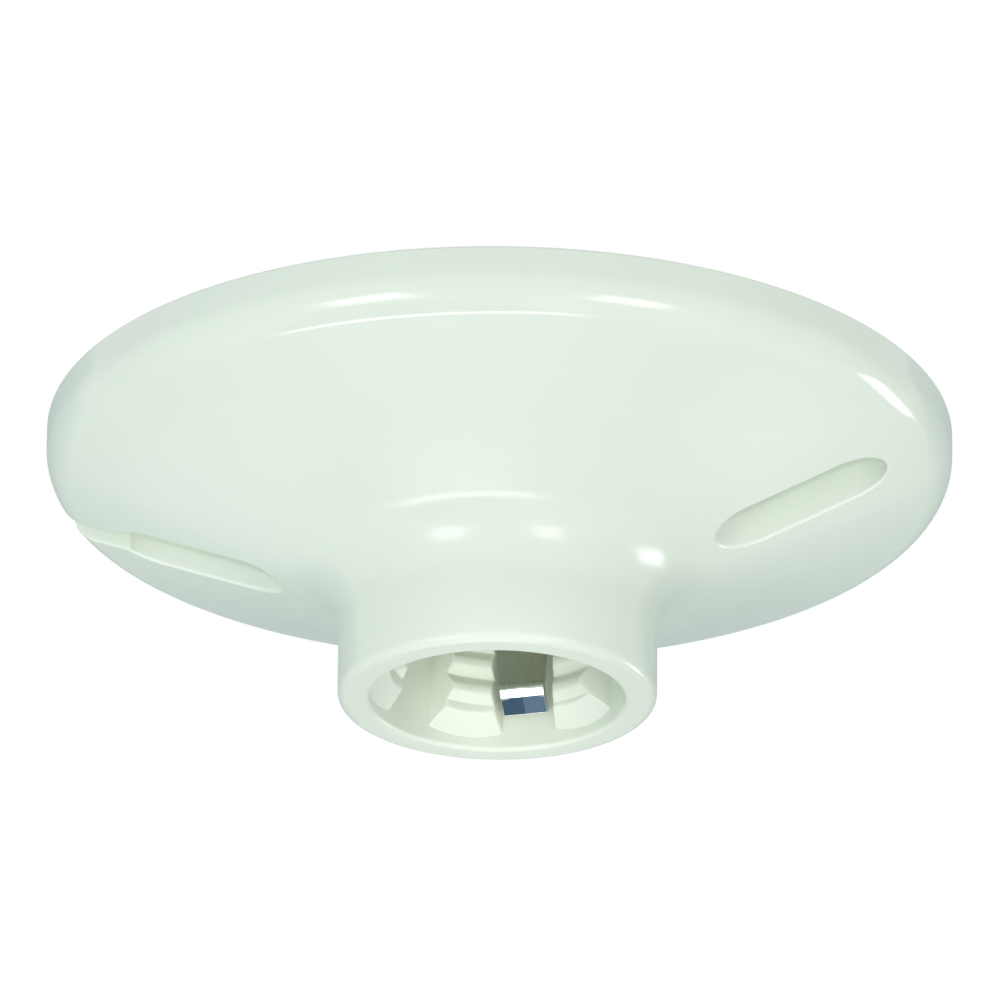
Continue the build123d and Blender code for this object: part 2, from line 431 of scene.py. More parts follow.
# thread pads inside the socket
pads = {
    "count": 6, "firstAngle": -60, "widthAngle": 35.3, "sideAngle": 38, "leadInSetback": 1.6 * mm,
    "leadInAngle": 48.5, "pitch": 3.629 * mm, "crestRadius": 12.45 * mm, "height": 0.95 * mm,
    "crestWidth": 1.05 * mm, "flankRun": 1.2 * mm, "startSetback": 5.04 * mm, "ridges": 5,
    "columns": 8, "merge": 0.8 * mm, "ease": 0.32 * mm, "easeSegments": 3, "crestRound": 0.36 * mm,
    "mend": 0.03 * mm,
}


def easedCorner(before, corner, after, reach):      # a few points round a corner of a drawn line
    start = corner + (before - corner).normalized() * reach
    end = corner + (after - corner).normalized() * reach
    points = []
    for share in (0, 0.3, 0.7, 1):
        rest = 1 - share
        points.append(start * rest * rest + corner * 2 * rest * share + end * share * share)
    return points


def padRows(firstCrest, low, high):     # radius and height of the ridged side, from the mouth inwards
    root = pads["crestRadius"] + pads["height"]
    halfCrest = pads["crestWidth"] / 2
    halfFoot = halfCrest + pads["flankRun"]
    rows = [Vector((root, low))]
    for turn in range(pads["ridges"]):
        crest = firstCrest + turn * pads["pitch"]
        lowFoot = Vector((root, crest - halfFoot))
        lowCrest = Vector((pads["crestRadius"], crest - halfCrest))
        highCrest = Vector((pads["crestRadius"], crest + halfCrest))
        highFoot = Vector((root, crest + halfFoot))
        rows.append(lowFoot)
        rows += easedCorner(lowFoot, lowCrest, highCrest, pads["crestRound"])
        rows += easedCorner(lowCrest, highCrest, highFoot, pads["crestRound"])
        rows.append(highFoot)
    rows.append(Vector((root, high)))
    return rows


def padColumns(radius):                 # one row seen along the socket: side, eased edge, ridge, edge, side
    half = math.radians(pads["widthAngle"] / 2)
    spread = math.tan(math.radians(pads["sideAngle"]))
    offset = holder["bore"] * (math.sin(half) - math.cos(half) * spread)
    square = 1 + spread * spread        # where the sloped side meets this radius
    cross = offset * spread
    cornerX = (math.sqrt(cross * cross - square * (offset * offset - radius * radius)) - cross) / square
    corner = Vector((cornerX, offset + cornerX * spread))
    farX = holder["bore"] + pads["merge"]
    far = Vector((farX, offset + farX * spread))
    reachAngle = math.atan2(corner.y, corner.x)
    along = corner + Vector((corner.y, -corner.x)).normalized() * mm
    eased = easedCorner(far, corner, along, pads["ease"])
    inner = reachAngle - pads["ease"] / radius
    count = pads["columns"]
    middle = []
    for step in range(1, count):
        angle = inner - 2 * inner * step / count
        middle.append(Vector((radius * math.cos(angle), radius * math.sin(angle))))
    upper = [far] + eased
    lower = [Vector((point.x, -point.y)) for point in reversed(upper)]
    return upper + middle + lower


def makePad(index):
    firstCrest = pads["startSetback"] - holder["mouth"] + index * pads["pitch"] / pads["count"]
    low = -holder["mouth"] + 2 * near
    high = -holder["floorDepth"] + pads["merge"]
    rows = padRows(firstCrest, low, high)
    lead = pads["pitch"] / (2 * math.pi * pads["crestRadius"])
    wide = len(padColumns(pads["crestRadius"]))
    bpy.ops.mesh.primitive_grid_add(x_subdivisions=wide - 1, y_subdivisions=len(rows) - 1, size=1)
    pad = bpy.context.active_object
    pad.name = "thread_pad"
    for point in pad.data.vertices:
        column = round((point.co.x + 0.5) * (wide - 1))
        row = round((point.co.y + 0.5) * (len(rows) - 1))
        radius, height = rows[row]
        x, y = padColumns(radius)[column]
        inside = 0 < row < len(rows) - 1
        point.co = (x, y, height + y * lead * inside)
    farX = holder["bore"] + pads["merge"]
    openMesh(pad)
    for test in (atHeight(low), atHeight(high), lambda corners: abs(corners[0].x - farX) < near):
        pick(pad, "VERT", test)
        bpy.ops.mesh.edge_face_add()
    tidyMesh()
    closeMesh()
    rise = 1 / math.tan(math.radians(pads["leadInAngle"]))
    facetPlace = Vector((holder["bore"], 0, pads["leadInSetback"] - holder["mouth"]))
    facetNormal = Vector((-rise, 0, -1)).normalized()
    cutAway(pad, facetPlace, facetNormal)
    openMesh(pad)
    bpy.ops.mesh.select_all(action="SELECT")
    bpy.ops.mesh.dissolve_degenerate(threshold=pads["mend"])

    def onFacet(corners):
        return all(abs((corner - facetPlace).dot(facetNormal)) < near for corner in corners)
    pick(pad, "EDGE", onFacet)
    bpy.ops.mesh.bevel(
        offset=pads["ease"], segments=pads["easeSegments"], affect="EDGES", clamp_overlap=True)
    tidyMesh()
    closeMesh()
    settle(pad, turnedBy(math.radians(pads["firstAngle"] + index * 360 / pads["count"])))
    return pad


# openings in the well floor for the contacts, rivets and screws
openings = {
    "slotNear": 13 * mm, "slotFar": 15.4 * mm, "sideHalf": 3.5 * mm, "centreHalf": 3.3 * mm,
    "rivetRadius": 1.6 * mm, "screwWellRadius": 3.13 * mm, "screwWellLow": -7.8 * mm, "steps": 40,
}
terminals = {
    "rowY": 8.99 * mm, "rivetX": -5.8 * mm, "screwX": 8.5 * mm, "plateHalf": 4 * mm,
    "rivetEnd": 3.2 * mm, "screwEnd": 4.2 * mm, "cornerRound": 1.5 * mm, "cornerSegments": 6,
    "thickness": 0.8 * mm,
    "collarRadius": 2.83 * mm, "collarDrop": 1.2 * mm, "holeRadius": 2.13 * mm,
}


def makeRod(name, x, radius, low, high):        # a round tool on the row of the terminals
    rod = turnRings(name, [(radius, low), (radius, high)], openings["steps"])
    settle(rod, shifted(x, terminals["rowY"], 0))
    return rod


def cutOpenings(body, half, turn):
    slotNear = openings["slotNear"]
    slotFar = openings["slotFar"]
    low = -holder["floorDepth"] - mm
    corners = [(-half, slotNear, 0), (half, slotNear, 0), (half, slotFar, 0), (-half, slotFar, 0)]
    slit = drawLine("contact slit", corners, True)
    thicken(slit, low)
    rivetHole = makeRod("rivet hole", terminals["rivetX"], openings["rivetRadius"], low, 0)
    screwWell = makeRod(
        "screw well", terminals["screwX"], openings["screwWellRadius"], openings["screwWellLow"], 0)
    for tool in (slit, rivetHole, screwWell):
        settle(tool, turnedBy(turn))
        combine(body, tool, "DIFFERENCE")


def makeHolder():
    body = makeShell()
    print("shell turned")
    for turn in (0, halfTurn):
        combine(body, makeBoss(turn), "UNION")
    for angle in backing["ribAngles"]:
        combine(body, makeRib(math.radians(angle)), "UNION")
    for side in (1, -1):
        combine(body, makeSlotCutter(side), "DIFFERENCE")
    combine(body, makeNeckCutter(), "DIFFERENCE")
    print("slots cut")
    for index in range(pads["count"]):
        combine(body, makePad(index), "UNION")
    print("thread pads set")
    cutOpenings(body, openings["sideHalf"], 0)
    cutOpenings(body, openings["centreHalf"], halfTurn)
    for point in body.data.vertices:    # the box of the CAD is the limit
        for axis in range(3):
            point.co[axis] = min(max(point.co[axis], holderLow[axis]), holderHigh[axis])
    openMesh(body)
    tidyMesh()
    closeMesh()
    smoothShade(body, holder["smoothAngle"])
    evenShade(body)
    return body


# folded contacts, each one sheet: the terminal plate with a strip drawn out of its far edge
sideStrip = {
    "half": 3.2 * mm, "endHalf": 2.8 * mm, "taperFrom": -14 * mm, "taperTo": -33.42 * mm,
    "bend": 1.2 * mm, "path": [(14.4, -4), (14.4, -14), (11.5, -29.6), (12.28, -30.86), (14.07, -32.42)],
    "crease": 0.06 * mm, "creaseTop": -30.9 * mm, "creaseWay": (0, -0.66, -0.75),
}
centreStrip = {
    "half": 3 * mm, "endHalf": 3 * mm, "taperFrom": -14 * mm, "taperTo": -33.42 * mm,
    "bend": 1.2 * mm, "path": [(14.4, -4), (14.4, -9), (9, -9), (2.8, -11.6), (-2.8, -11.6), (-5, -10.8)],
}
sheetFinish = {
    "bendSegments": 6, "ease": 0.1 * mm, "easeSegments": 2, "easeAngle": math.radians(50),
    "smoothAngle": math.radians(35),
}


def stripHalf(strip, height):
    share = (strip["taperFrom"] - height) / (strip["taperFrom"] - strip["taperTo"])
    return strip["half"] + (strip["endHalf"] - strip["half"]) * min(max(share, 0), 1)


def drawSheet(name, strip):             # the flat plate, then the strip drawn out of its far edge
    base = -holder["wellBack"]
    left = terminals["rivetX"] - terminals["rivetEnd"]
    right = terminals["screwX"] + terminals["screwEnd"]
    nearY = terminals["rowY"] - terminals["plateHalf"]
    farY = terminals["rowY"] + terminals["plateHalf"]
    corners = [(left, nearY, base), (right, nearY, base), (right, farY, base), (left, farY, base)]
    sheet = drawLine(name, corners, True)
    openMesh(sheet)
    bpy.ops.mesh.select_all(action="SELECT")
    bpy.ops.mesh.bevel(
        offset=terminals["cornerRound"], segments=terminals["cornerSegments"], affect="VERTICES",
        clamp_overlap=False,
    )
    for side in (1, -1):                # two cuts mark the root of the strip in the far edge
        bpy.ops.mesh.select_all(action="SELECT")
        bpy.ops.mesh.bisect(plane_co=(side * strip["half"], 0, 0), plane_no=(1, 0, 0), threshold=weld)

    def root(corners):
        inside = all(abs(corner.x) < strip["half"] + near for corner in corners)
        return inside and all(abs(corner.y - farY) < near for corner in corners)
    pick(sheet, "EDGE", root)
    place = (farY, base)
    half = strip["half"]
    for y, z in strip["path"]:
        step = (0, y * mm - place[0], z * mm - place[1])
        bpy.ops.mesh.extrude_edges_move(TRANSFORM_OT_translate={"value": step})
        place = (y * mm, z * mm)
        nextHalf = stripHalf(strip, place[1])
        bpy.ops.transform.resize(value=(nextHalf / half, 1, 1), center_override=(0, 0, 0))
        half = nextHalf
    if "crease" in strip:               # the tip is pressed out along its middle
        tipZ = place[1]
        push = [strip["crease"] * share for share in strip["creaseWay"]]
        bpy.ops.mesh.select_all(action="SELECT")
        bpy.ops.mesh.bisect(plane_co=(0, 0, 0), plane_no=(1, 0, 0), threshold=weld)
        pick(sheet, "VERT", lambda corners: abs(corners[0].x) < near and abs(corners[0].z - tipZ) < near)
        bpy.ops.transform.translate(value=push)
    foldSheet(sheet, strip["bend"], [(farY / mm, base / mm)] + strip["path"])
    tidyMesh()
    closeMesh()
    return sheet


def foldSheet(sheet, bend, run):        # each corner of the run becomes a bend
    for before, fold, after in zip(run, run[1:], run[2:]):
        into = Vector(fold) - Vector(before)
        out = Vector(after) - Vector(fold)
        y, z = fold[0] * mm, fold[1] * mm

        def onFold(corners):
            return all(abs(corner.y - y) < near and abs(corner.z - z) < near for corner in corners)
        pick(sheet, "EDGE", onFold)
        roundCorner(bend, into.angle(out), sheetFinish["bendSegments"])


def plateFacesUp(sheet):
    for face in sheet.data.polygons:
        if abs(face.center.z + holder["wellBack"]) < near and face.normal.z < 0:
            return False
    return True


def makeContact(name, strip, turn):
    sheet = drawSheet(name, strip)
    gauge = sheet.modifiers.new("gauge", "SOLIDIFY")
    gauge.thickness = terminals["thickness"]
    gauge.offset = 1 if plateFacesUp(sheet) else -1
    gauge.use_even_offset = True
    applyChange(sheet, gauge)
    base = -holder["wellBack"]
    collarLow = base - terminals["collarDrop"]
    top = base + terminals["thickness"]
    screwX = terminals["screwX"]
    collar = makeRod("drawn collar", screwX, terminals["collarRadius"], collarLow, top - near)
    combine(sheet, collar, "UNION")
    threadHole = makeRod("thread hole", screwX, terminals["holeRadius"], collarLow - mm, 0)
    combine(sheet, threadHole, "DIFFERENCE")
    rivetHole = makeRod("rivet hole", terminals["rivetX"], openings["rivetRadius"], base - mm, 0)
    combine(sheet, rivetHole, "DIFFERENCE")
    easeEdges(sheet, sheetFinish["ease"], sheetFinish["easeSegments"], sheetFinish["easeAngle"])
    if "crease" in strip:               # a hard line parts the two halves of the tip
        def onCrease(corners):
            return all(abs(corner.x) < near and corner.z < strip["creaseTop"] for corner in corners)
        openMesh(sheet)
        pick(sheet, "EDGE", onCrease)
        bpy.ops.mesh.mark_sharp()
        closeMesh()
    settle(sheet, turnedBy(turn))
    smoothShade(sheet, sheetFinish["smoothAngle"])
    evenShade(sheet)
    return sheet


# terminal screws with a slotted head and a cut thread, hollow rivets
plateTop = -holder["wellBack"] + terminals["thickness"]
screw = {
    "headRadius": 3.8 * mm, "headHeight": 2.2 * mm, "headRound": 0.6 * mm, "driveHalf": 0.55 * mm,
    "driveDepth": 1.1 * mm, "length": 4.4 * mm, "crest": 2.08 * mm, "rootRadius": 1.7 * mm,
    "pitch": 0.794 * mm, "crestFrom": 0.4, "crestTo": 0.55, "runOut": 1.5, "turns": 8, "turnSteps": 32,
    "bite": 0.3 * mm, "steps": 48, "headSegments": 5, "ease": 0.08 * mm, "easeSegments": 2,
    "easeAngle": math.radians(60), "smoothAngle": math.radians(35),
}
rivet = {
    "radius": 1.6 * mm, "hollow": 0.9 * mm, "headRadius": 2.4 * mm, "headHeight": 0.8 * mm,
    "ease": 0.35 * mm, "easeSegments": 4, "steps": 48, "smoothAngle": math.radians(40),
}


def makeThread():                       # one tooth wound round the shank, cut off at both ends
    pitch = screw["pitch"]
    rootRadius = screw["rootRadius"]
    crest = screw["crest"]
    start = -screw["length"] - screw["runOut"] * pitch
    tooth = [
        (rootRadius, 0, start),
        (crest, 0, start + screw["crestFrom"] * pitch),
        (crest, 0, start + screw["crestTo"] * pitch),
        (rootRadius, 0, start + pitch),
    ]
    thread = drawLine("screw thread", tooth, False)
    wind = thread.modifiers.new("wind", "SCREW")
    wind.axis = "Z"
    wind.angle = 2 * math.pi
    wind.screw_offset = pitch
    wind.iterations = screw["turns"]
    wind.steps = screw["turnSteps"]
    wind.render_steps = screw["turnSteps"]
    wind.use_merge_vertices = True
    wind.merge_threshold = weld
    applyChange(thread, wind)
    openMesh(thread)
    bpy.ops.mesh.select_all(action="SELECT")
    bpy.ops.mesh.remove_doubles(threshold=weld)
    closeMesh()
    cutAway(thread, (0, 0, -screw["length"]), (0, 0, -1))
    cutAway(thread, (0, 0, screw["bite"]), (0, 0, 1))
    return thread


def makeScrew(name):
    radius = screw["headRadius"]
    height = screw["headHeight"]
    head = turnRings(name, [(radius, height), (radius, 0)], screw["steps"])
    openMesh(head)
    pick(head, "EDGE", onRing(radius, height))
    bpy.ops.mesh.bevel(
        offset=screw["headRound"], segments=screw["headSegments"], affect="EDGES", clamp_overlap=False)
    closeMesh()
    out = 2 * radius
    half = screw["driveHalf"]
    floor = height - screw["driveDepth"]
    corners = [(-out, -half, floor), (out, -half, floor), (out, half, floor), (-out, half, floor)]
    drive = drawLine("drive slot", corners, True)
    thicken(drive, height)
    combine(head, drive, "DIFFERENCE")
    easeEdges(head, screw["ease"], screw["easeSegments"], screw["easeAngle"])
    combine(head, makeThread(), "UNION")
    smoothShade(head, screw["smoothAngle"])
    evenShade(head)
    return head


def makeRivet(name):
    hollow = rivet["hollow"]
    shank = rivet["radius"]
    headRadius = rivet["headRadius"]
    low = -holder["floorDepth"]
    bottom = low - rivet["headHeight"]
    top = plateTop + rivet["headHeight"]
    rings = [
        (hollow, bottom), (headRadius, bottom), (headRadius, low), (shank, low), (shank, plateTop),
        (headRadius, plateTop), (headRadius, top), (hollow, top), (hollow, bottom),
    ]
    piece = turnRings(name, rings, rivet["steps"], closed=True)
    openMesh(piece)
    for ring in (rings[0], rings[1], rings[6], rings[7]):
        pick(piece, "EDGE", onRing(*ring))
        bpy.ops.mesh.bevel(
            offset=rivet["ease"], segments=rivet["easeSegments"], affect="EDGES", clamp_overlap=False)
    closeMesh()
    smoothShade(piece, rivet["smoothAngle"])
    return piece


holderPiece = makeHolder()
print("holder made")
sidePiece = makeContact("side_contact_strip", sideStrip, 0)
centrePiece = makeContact("centre_contact_leaf", centreStrip, halfTurn)
print("contacts folded")
neutralPiece = makeScrew("neutral_screw")
settle(neutralPiece, shifted(terminals["screwX"], terminals["rowY"], plateTop))
hotPiece = makeScrew("hot_screw")
settle(hotPiece, turnedBy(halfTurn) @ shifted(terminals["screwX"], terminals["rowY"], plateTop))
sideRivet = makeRivet("side_rivet")
settle(sideRivet, shifted(terminals["rivetX"], terminals["rowY"], 0))
centreRivet = makeRivet("centre_rivet")
settle(centreRivet, turnedBy(halfTurn) @ shifted(terminals["rivetX"], terminals["rowY"], 0))
print("screws and rivets made")


# materials
def newMaterial(name):
    material = bpy.data.materials.new(name)
    material.use_nodes = True
    tree = material.node_tree
    shader = tree.nodes["Principled BSDF"]
    place = tree.nodes.new("ShaderNodeTexCoord")
    return material, tree, shader, place


def addNoise(tree, place, scale, detail, stretch=(1, 1, 1)):
    mapping = tree.nodes.new("ShaderNodeMapping")
    mapping.inputs["Scale"].default_value = stretch
    noise = tree.nodes.new("ShaderNodeTexNoise")
    noise.inputs["Scale"].default_value = scale
    noise.inputs["Detail"].default_value = detail
    tree.links.new(place.outputs["Object"], mapping.inputs["Vector"])
    tree.links.new(mapping.outputs["Vector"], noise.inputs["Vector"])
    return noise


def addRamp(tree, source, dark, light, low=0.3, high=0.7):
    ramp = tree.nodes.new("ShaderNodeValToRGB")
    ramp.color_ramp.elements[0].position = low
    ramp.color_ramp.elements[0].color = dark
    ramp.color_ramp.elements[1].position = high
    ramp.color_ramp.elements[1].color = light
    tree.links.new(source, ramp.inputs["Fac"])
    return ramp


def addRange(tree, source, low, high):
    span = tree.nodes.new("ShaderNodeMapRange")
    span.inputs["To Min"].default_value = low
    span.inputs["To Max"].default_value = high
    tree.links.new(source, span.inputs["Value"])
    return span


def addBump(tree, shader, source, strength, distance):
    bump = tree.nodes.new("ShaderNodeBump")
    bump.inputs["Strength"].default_value = strength
    bump.inputs["Distance"].default_value = distance
    tree.links.new(source, bump.inputs["Height"])
    tree.links.new(bump.outputs["Normal"], shader.inputs["Normal"])


def addFade(tree, place, along, span, values):      # changes with the distance from the axis or the height
    split = tree.nodes.new("ShaderNodeSeparateXYZ")
    tree.links.new(place.outputs["Object"], split.inputs["Vector"])
    source = split.outputs["Z"]
    if along == "ring":
        flat = tree.nodes.new("ShaderNodeCombineXYZ")
        tree.links.new(split.outputs["X"], flat.inputs["X"])
        tree.links.new(split.outputs["Y"], flat.inputs["Y"])
        length = tree.nodes.new("ShaderNodeVectorMath")
        length.operation = "LENGTH"
        tree.links.new(flat.outputs["Vector"], length.inputs[0])
        source = length.outputs["Value"]
    fade = addRange(tree, source, *values)
    fade.inputs["From Min"].default_value = span[0]
    fade.inputs["From Max"].default_value = span[1]
    return fade


def addSum(tree, first, second):
    both = tree.nodes.new("ShaderNodeMath")
    both.operation = "ADD"
    tree.links.new(first, both.inputs[0])
    tree.links.new(second, both.inputs[1])
    return both


plastic = {
    "dark": (0.785, 0.845, 0.742, 1), "light": (0.805, 0.865, 0.762, 1), "rough": (0.12, 0.16),
    "softer": 0.08, "softSpan": (26 * mm, 40 * mm), "clouds": 60, "cloudDetail": 3, "grain": 900,
    "grainDetail": 2, "bump": 0.05, "bumpDepth": 0.02 * mm,
}


def plasticMaterial():
    material, tree, shader, place = newMaterial("glossy white plastic")
    clouds = addNoise(tree, place, plastic["clouds"], plastic["cloudDetail"])
    grain = addNoise(tree, place, plastic["grain"], plastic["grainDetail"])
    colour = addRamp(tree, clouds.outputs["Fac"], plastic["dark"], plastic["light"])
    rough = addRange(tree, grain.outputs["Fac"], *plastic["rough"])
    tree.links.new(colour.outputs["Color"], shader.inputs["Base Color"])
    soft = addFade(tree, place, "ring", plastic["softSpan"], (plastic["softer"], 0))
    both = addSum(tree, rough.outputs["Result"], soft.outputs["Result"])
    tree.links.new(both.outputs["Value"], shader.inputs["Roughness"])
    addBump(tree, shader, grain.outputs["Fac"], plastic["bump"], plastic["bumpDepth"])
    return material


metals = {
    "nickel": {
        "dark": (0.64, 0.67, 0.61, 1), "light": (0.72, 0.75, 0.69, 1), "rough": (0.06, 0.09),
        "bump": 0.015, "satin": 0.26, "satinSpan": (-30.2 * mm, -28.8 * mm),
    },
    "brass": {
        "dark": (0.60, 0.42, 0.17, 1), "light": (0.72, 0.53, 0.25, 1), "rough": (0.2, 0.34), "bump": 0.08,
    },
    "leaf": {
        "dark": (0.50, 0.43, 0.28, 1), "light": (0.62, 0.54, 0.36, 1), "rough": (0.24, 0.34), "bump": 0.08,
    },
    "screwNickel": {
        "dark": (0.50, 0.50, 0.48, 1), "light": (0.62, 0.62, 0.60, 1), "rough": (0.2, 0.32), "bump": 0.08,
    },
}
brushing = {"scale": 600, "detail": 4, "bumpDepth": 0.02 * mm, "strip": (6, 1, 0.3), "plain": (1, 1, 1)}


def metalMaterial(name, look, stretch):
    material, tree, shader, place = newMaterial(name)
    shader.inputs["Metallic"].default_value = 1
    brush = addNoise(tree, place, brushing["scale"], brushing["detail"], stretch)
    colour = addRamp(tree, brush.outputs["Fac"], look["dark"], look["light"])
    rough = addRange(tree, brush.outputs["Fac"], *look["rough"])
    tree.links.new(colour.outputs["Color"], shader.inputs["Base Color"])
    total = rough.outputs["Result"]
    if "satin" in look:                 # duller above the tip
        satin = addFade(tree, place, "height", look["satinSpan"], (0, look["satin"]))
        total = addSum(tree, total, satin.outputs["Result"]).outputs["Value"]
    tree.links.new(total, shader.inputs["Roughness"])
    addBump(tree, shader, brush.outputs["Fac"], look["bump"], brushing["bumpDepth"])
    return material


plasticLook = plasticMaterial()
stripLook = metalMaterial("nickel strip", metals["nickel"], brushing["strip"])
leafLook = metalMaterial("brass strip", metals["leaf"], brushing["strip"])
nickelLook = metalMaterial("nickel screw", metals["screwNickel"], brushing["plain"])
brassLook = metalMaterial("brass screw", metals["brass"], brushing["plain"])
rivetLook = metalMaterial("brass rivet", metals["brass"], brushing["plain"])

places = [      # piece, node, body, slot, look
    (holderPiece, "holder_body", "holder", "white_plastic", plasticLook),
    (sidePiece, "side_contact", "holder", "nickel_strip", stripLook),
    (centrePiece, "centre_contact", "holder", "brass_strip", leafLook),
    (neutralPiece, "neutral_terminal_screw", "neutral_screw", "nickel_screw", nickelLook),
    (hotPiece, "hot_terminal_screw", "hot_screw", "brass_screw", brassLook),
    (sideRivet, "side_contact_rivet", "holder", "brass_rivet", rivetLook),
    (centreRivet, "centre_contact_rivet", "holder", "brass_rivet", rivetLook),
]
for piece, node, body, slotName, look in places:
    piece.data.materials.clear()
    piece.data.materials.append(look)
    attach(piece, body)
    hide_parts(node)
    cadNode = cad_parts[node]
    cadNode.data.materials.clear()
    cadNode.data.materials.append(look)
print("materials set")

# stage: lamps, white surround, pale floor, reflection cards and camera
stage = {
    "azimuth": math.radians(15), "middle": Vector((0, 0, -12 * mm)), "ambientColour": (0.92, 1, 1.02, 1),
    "below": 0.86, "above": 0.6, "fadeFrom": -0.6, "fadeTo": 0.4,
}
lamps = {       # at: azimuth from the camera, elevation, distance
    "left softbox": {
        "at": (-36, -37, 1.0), "spin": 0, "size": (0.32, 0.29), "watts": 1.75, "colour": (0.96, 1, 1),
        "gloss": True, "shade": True,
    },
    "right softbox": {
        "at": (36, -39, 1.0), "spin": 0, "size": (0.27, 0.29), "watts": 1.5, "colour": (1, 0.95, 0.87),
        "gloss": True, "shade": True,
    },
    "side lamp": {
        "at": (117, -22, 1.0), "spin": 0, "size": (0.34, 0.2), "watts": 1.7, "colour": (1, 1, 1),
        "gloss": True, "shade": False,
    },
    "low panel": {
        "at": (-156, -74.5, 0.86), "spin": 40, "size": (0.46, 0.08), "watts": 1.0, "colour": (1, 1, 1),
        "gloss": True, "shade": False,
    },
    "front fill": {
        "at": (-10, -24, 1.6), "spin": 0, "size": (1.2, 1.0), "watts": 2.1, "colour": (1, 1, 1),
        "gloss": False, "shade": True,
    },
    "top fill": {
        "at": (160, 70, 1.6), "spin": 0, "size": (1.2, 1.2), "watts": 8.5, "colour": (1, 0.95, 0.96),
        "gloss": False, "shade": True,
    },
}
mouthLamp = {       # narrow lamps reach into the socket and the slots
    "at": (0, -28, 0.9), "watts": 7, "cone": 2.1, "radius": 0.006, "colour": (1, 0.95, 0.88),
    "past": 12 * mm, "inside": 5 * mm,
}
slotLamp = {
    "at": (0, -20, 0.9), "watts": 5, "cone": 2.6, "radius": 0.006, "colour": (0.87, 0.8, 1),
    "inside": 2 * mm,
}


def direction(azimuth, elevation):
    turn = stage["azimuth"] + math.radians(azimuth)
    lift = math.radians(elevation)
    return Vector((math.sin(turn) * math.cos(lift), -math.cos(turn) * math.cos(lift), math.sin(lift)))


def hangLamp(name, light, target, azimuth, elevation, distance):
    lamp = bpy.data.objects.new(name, light)
    bpy.context.scene.collection.objects.link(lamp)
    toward = direction(azimuth, elevation)
    lamp.location = target + toward * distance
    lamp.rotation_mode = "QUATERNION"
    lamp.rotation_quaternion = (-toward).to_track_quat("-Z", "Y")
    lamp.visible_camera = False
    return lamp


def addPanel(name, look):
    panel = bpy.data.lights.new(name, "AREA")
    panel.shape = "RECTANGLE"
    panel.size = look["size"][0]
    panel.size_y = look["size"][1]
    panel.energy = look["watts"]
    panel.color = look["colour"]
    lamp = hangLamp(name, panel, stage["middle"], *look["at"])
    spin = Quaternion((0, 0, 1), math.radians(look["spin"]))
    lamp.rotation_quaternion = lamp.rotation_quaternion @ spin
    lamp.visible_glossy = look["gloss"]
    lamp.visible_diffuse = look["shade"]


def addBeam(name, look, target):        # seen in no reflection
    beam = bpy.data.lights.new(name, "SPOT")
    beam.energy = look["watts"]
    beam.color = look["colour"]
    beam.spot_size = math.radians(look["cone"])
    beam.spot_blend = 1
    beam.shadow_soft_size = look["radius"]
    lamp = hangLamp(name, beam, target, *look["at"])
    lamp.visible_glossy = False


for name, look in lamps.items():
    addPanel(name, look)
farWall = direction(0, 0) * -mouthLamp["past"]
farWall.z = mouthLamp["inside"] - holder["mouth"]
addBeam("mouth lamp", mouthLamp, farWall)
slotHeight = faceHeight(slots["centre"]) + slotLamp["inside"]
for name, side in (("right slot lamp", 1), ("left slot lamp", -1)):
    addBeam(name, slotLamp, Vector((side * slots["centre"], slots["pocketHalf"], slotHeight)))
print("lamps hung")

world = bpy.data.worlds.new("surround")
bpy.context.scene.world = world
world.use_nodes = True
worldTree = world.node_tree
ambient = worldTree.nodes["Background"]
ambient.inputs["Color"].default_value = stage["ambientColour"]
heading = worldTree.nodes.new("ShaderNodeTexCoord")         # less light from above than from below
headingSplit = worldTree.nodes.new("ShaderNodeSeparateXYZ")
worldTree.links.new(heading.outputs["Generated"], headingSplit.inputs["Vector"])
level = addRange(worldTree, headingSplit.outputs["Z"], stage["below"], stage["above"])
level.inputs["From Min"].default_value = stage["fadeFrom"]
level.inputs["From Max"].default_value = stage["fadeTo"]
worldTree.links.new(level.outputs["Result"], ambient.inputs["Strength"])
whiteSeen = worldTree.nodes.new("ShaderNodeBackground")
whiteSeen.inputs["Color"].default_value = (1, 1, 1, 1)
whiteSeen.inputs["Strength"].default_value = 1
rays = worldTree.nodes.new("ShaderNodeLightPath")
seen = rays.outputs["Is Camera Ray"]
for kind in ("Is Transmission Ray", "Is Glossy Ray"):
    either = worldTree.nodes.new("ShaderNodeMath")
    either.operation = "MAXIMUM"
    worldTree.links.new(seen, either.inputs[0])
    worldTree.links.new(rays.outputs[kind], either.inputs[1])
    seen = either.outputs["Value"]
parted = worldTree.nodes.new("ShaderNodeMixShader")
worldTree.links.new(seen, parted.inputs["Fac"])
worldTree.links.new(ambient.outputs["Background"], parted.inputs[1])
worldTree.links.new(whiteSeen.outputs["Background"], parted.inputs[2])
worldTree.links.new(parted.outputs["Shader"], worldTree.nodes["World Output"].inputs["Surface"])

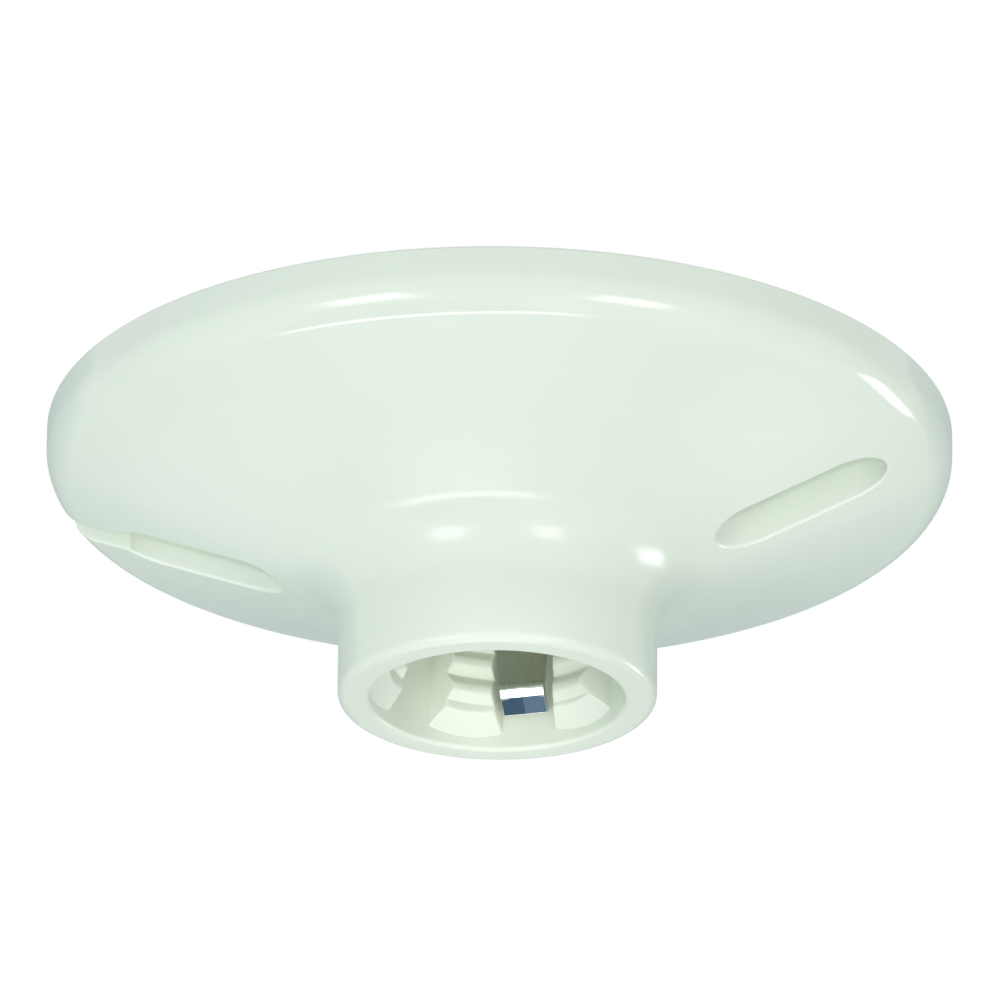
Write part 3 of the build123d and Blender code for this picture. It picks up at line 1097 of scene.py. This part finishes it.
ground = {
    "drop": 2.4, "size": 14, "dark": (0.84, 0.85, 0.84, 1), "light": (0.86, 0.87, 0.86, 1), "scale": 3,
    "detail": 2, "rough": 0.8, "glow": 0.14, "glowSeen": 0.5,
}
bpy.ops.mesh.primitive_plane_add(size=ground["size"], location=(0, 0, -ground["drop"]))
floor = bpy.context.active_object
floor.name = "pale_floor"
floorLook, floorTree, floorShader, floorPlace = newMaterial("pale_floor")
floorNoise = addNoise(floorTree, floorPlace, ground["scale"], ground["detail"])
floorColour = addRamp(floorTree, floorNoise.outputs["Fac"], ground["dark"], ground["light"])
floorTree.links.new(floorColour.outputs["Color"], floorShader.inputs["Base Color"])
floorShader.inputs["Roughness"].default_value = ground["rough"]
floorRays = floorTree.nodes.new("ShaderNodeLightPath")
floorGlow = addRange(floorTree, floorRays.outputs["Is Camera Ray"], ground["glow"], ground["glowSeen"])
floorShader.inputs["Emission Color"].default_value = (1, 1, 1, 1)
floorTree.links.new(floorGlow.outputs["Result"], floorShader.inputs["Emission Strength"])
floor.data.materials.append(floorLook)

cards = [       # name, place, tilt about X, width, height, colour; seen in reflections only
    ("dark_card_left", (-0.24, -0.2, -0.59), 0, 0.2, 0.5, (0.1, 0.175, 0.3, 1)),
    ("dark_card_right", (-0.04, -0.2, -0.59), 0, 0.2, 0.5, (0.23, 0.35, 0.53, 1)),
    ("grey_card_behind", (-0.18, 0.68, 0.25), 90, 2.0, 1.0, (0.55, 0.64, 0.64, 1)),
]
cardFinish = {"scale": 4, "detail": 2, "dim": 0.9, "rough": 0.9}
for name, place, tilt, width, height, colour in cards:
    bpy.ops.mesh.primitive_plane_add(size=1)
    card = bpy.context.active_object
    card.name = name
    card.scale = (width, height, 1)
    card.location = place
    card.rotation_euler = (math.radians(tilt), 0, stage["azimuth"] if tilt else 0)
    card.visible_camera = False
    card.visible_diffuse = False
    card.visible_shadow = False
    cardLook, cardTree, cardShader, cardPlace = newMaterial(card.name)
    cardNoise = addNoise(cardTree, cardPlace, cardFinish["scale"], cardFinish["detail"])
    dim = [cardFinish["dim"] * part for part in colour[:3]] + [1]
    cardColour = addRamp(cardTree, cardNoise.outputs["Fac"], dim, colour)
    cardTree.links.new(cardColour.outputs["Color"], cardShader.inputs["Base Color"])
    cardShader.inputs["Roughness"].default_value = cardFinish["rough"]
    card.data.materials.append(cardLook)

view = {
    "place": Vector((345.1 * mm, -1287.9 * mm, -594.05 * mm)), "roll": 0.0088, "lens": 415.8, "sensor": 36,
    "aim": Vector((0.12 * mm, 0.03 * mm, -8.85 * mm)), "clipStart": 0.05, "clipEnd": 30,
}
cameraData = bpy.data.cameras.new("camera")
cameraData.sensor_width = view["sensor"]
cameraData.lens = view["lens"]
cameraData.clip_start = view["clipStart"]
cameraData.clip_end = view["clipEnd"]
camera = bpy.data.objects.new("camera", cameraData)
bpy.context.scene.collection.objects.link(camera)
camera.location = view["place"]
camera.rotation_mode = "QUATERNION"
facing = (view["aim"] - view["place"]).to_track_quat("-Z", "Y")
camera.rotation_quaternion = facing @ Quaternion((0, 0, 1), view["roll"])
bpy.context.scene.camera = camera
bpy.context.scene.view_settings.view_transform = "Standard"
print("stage set")
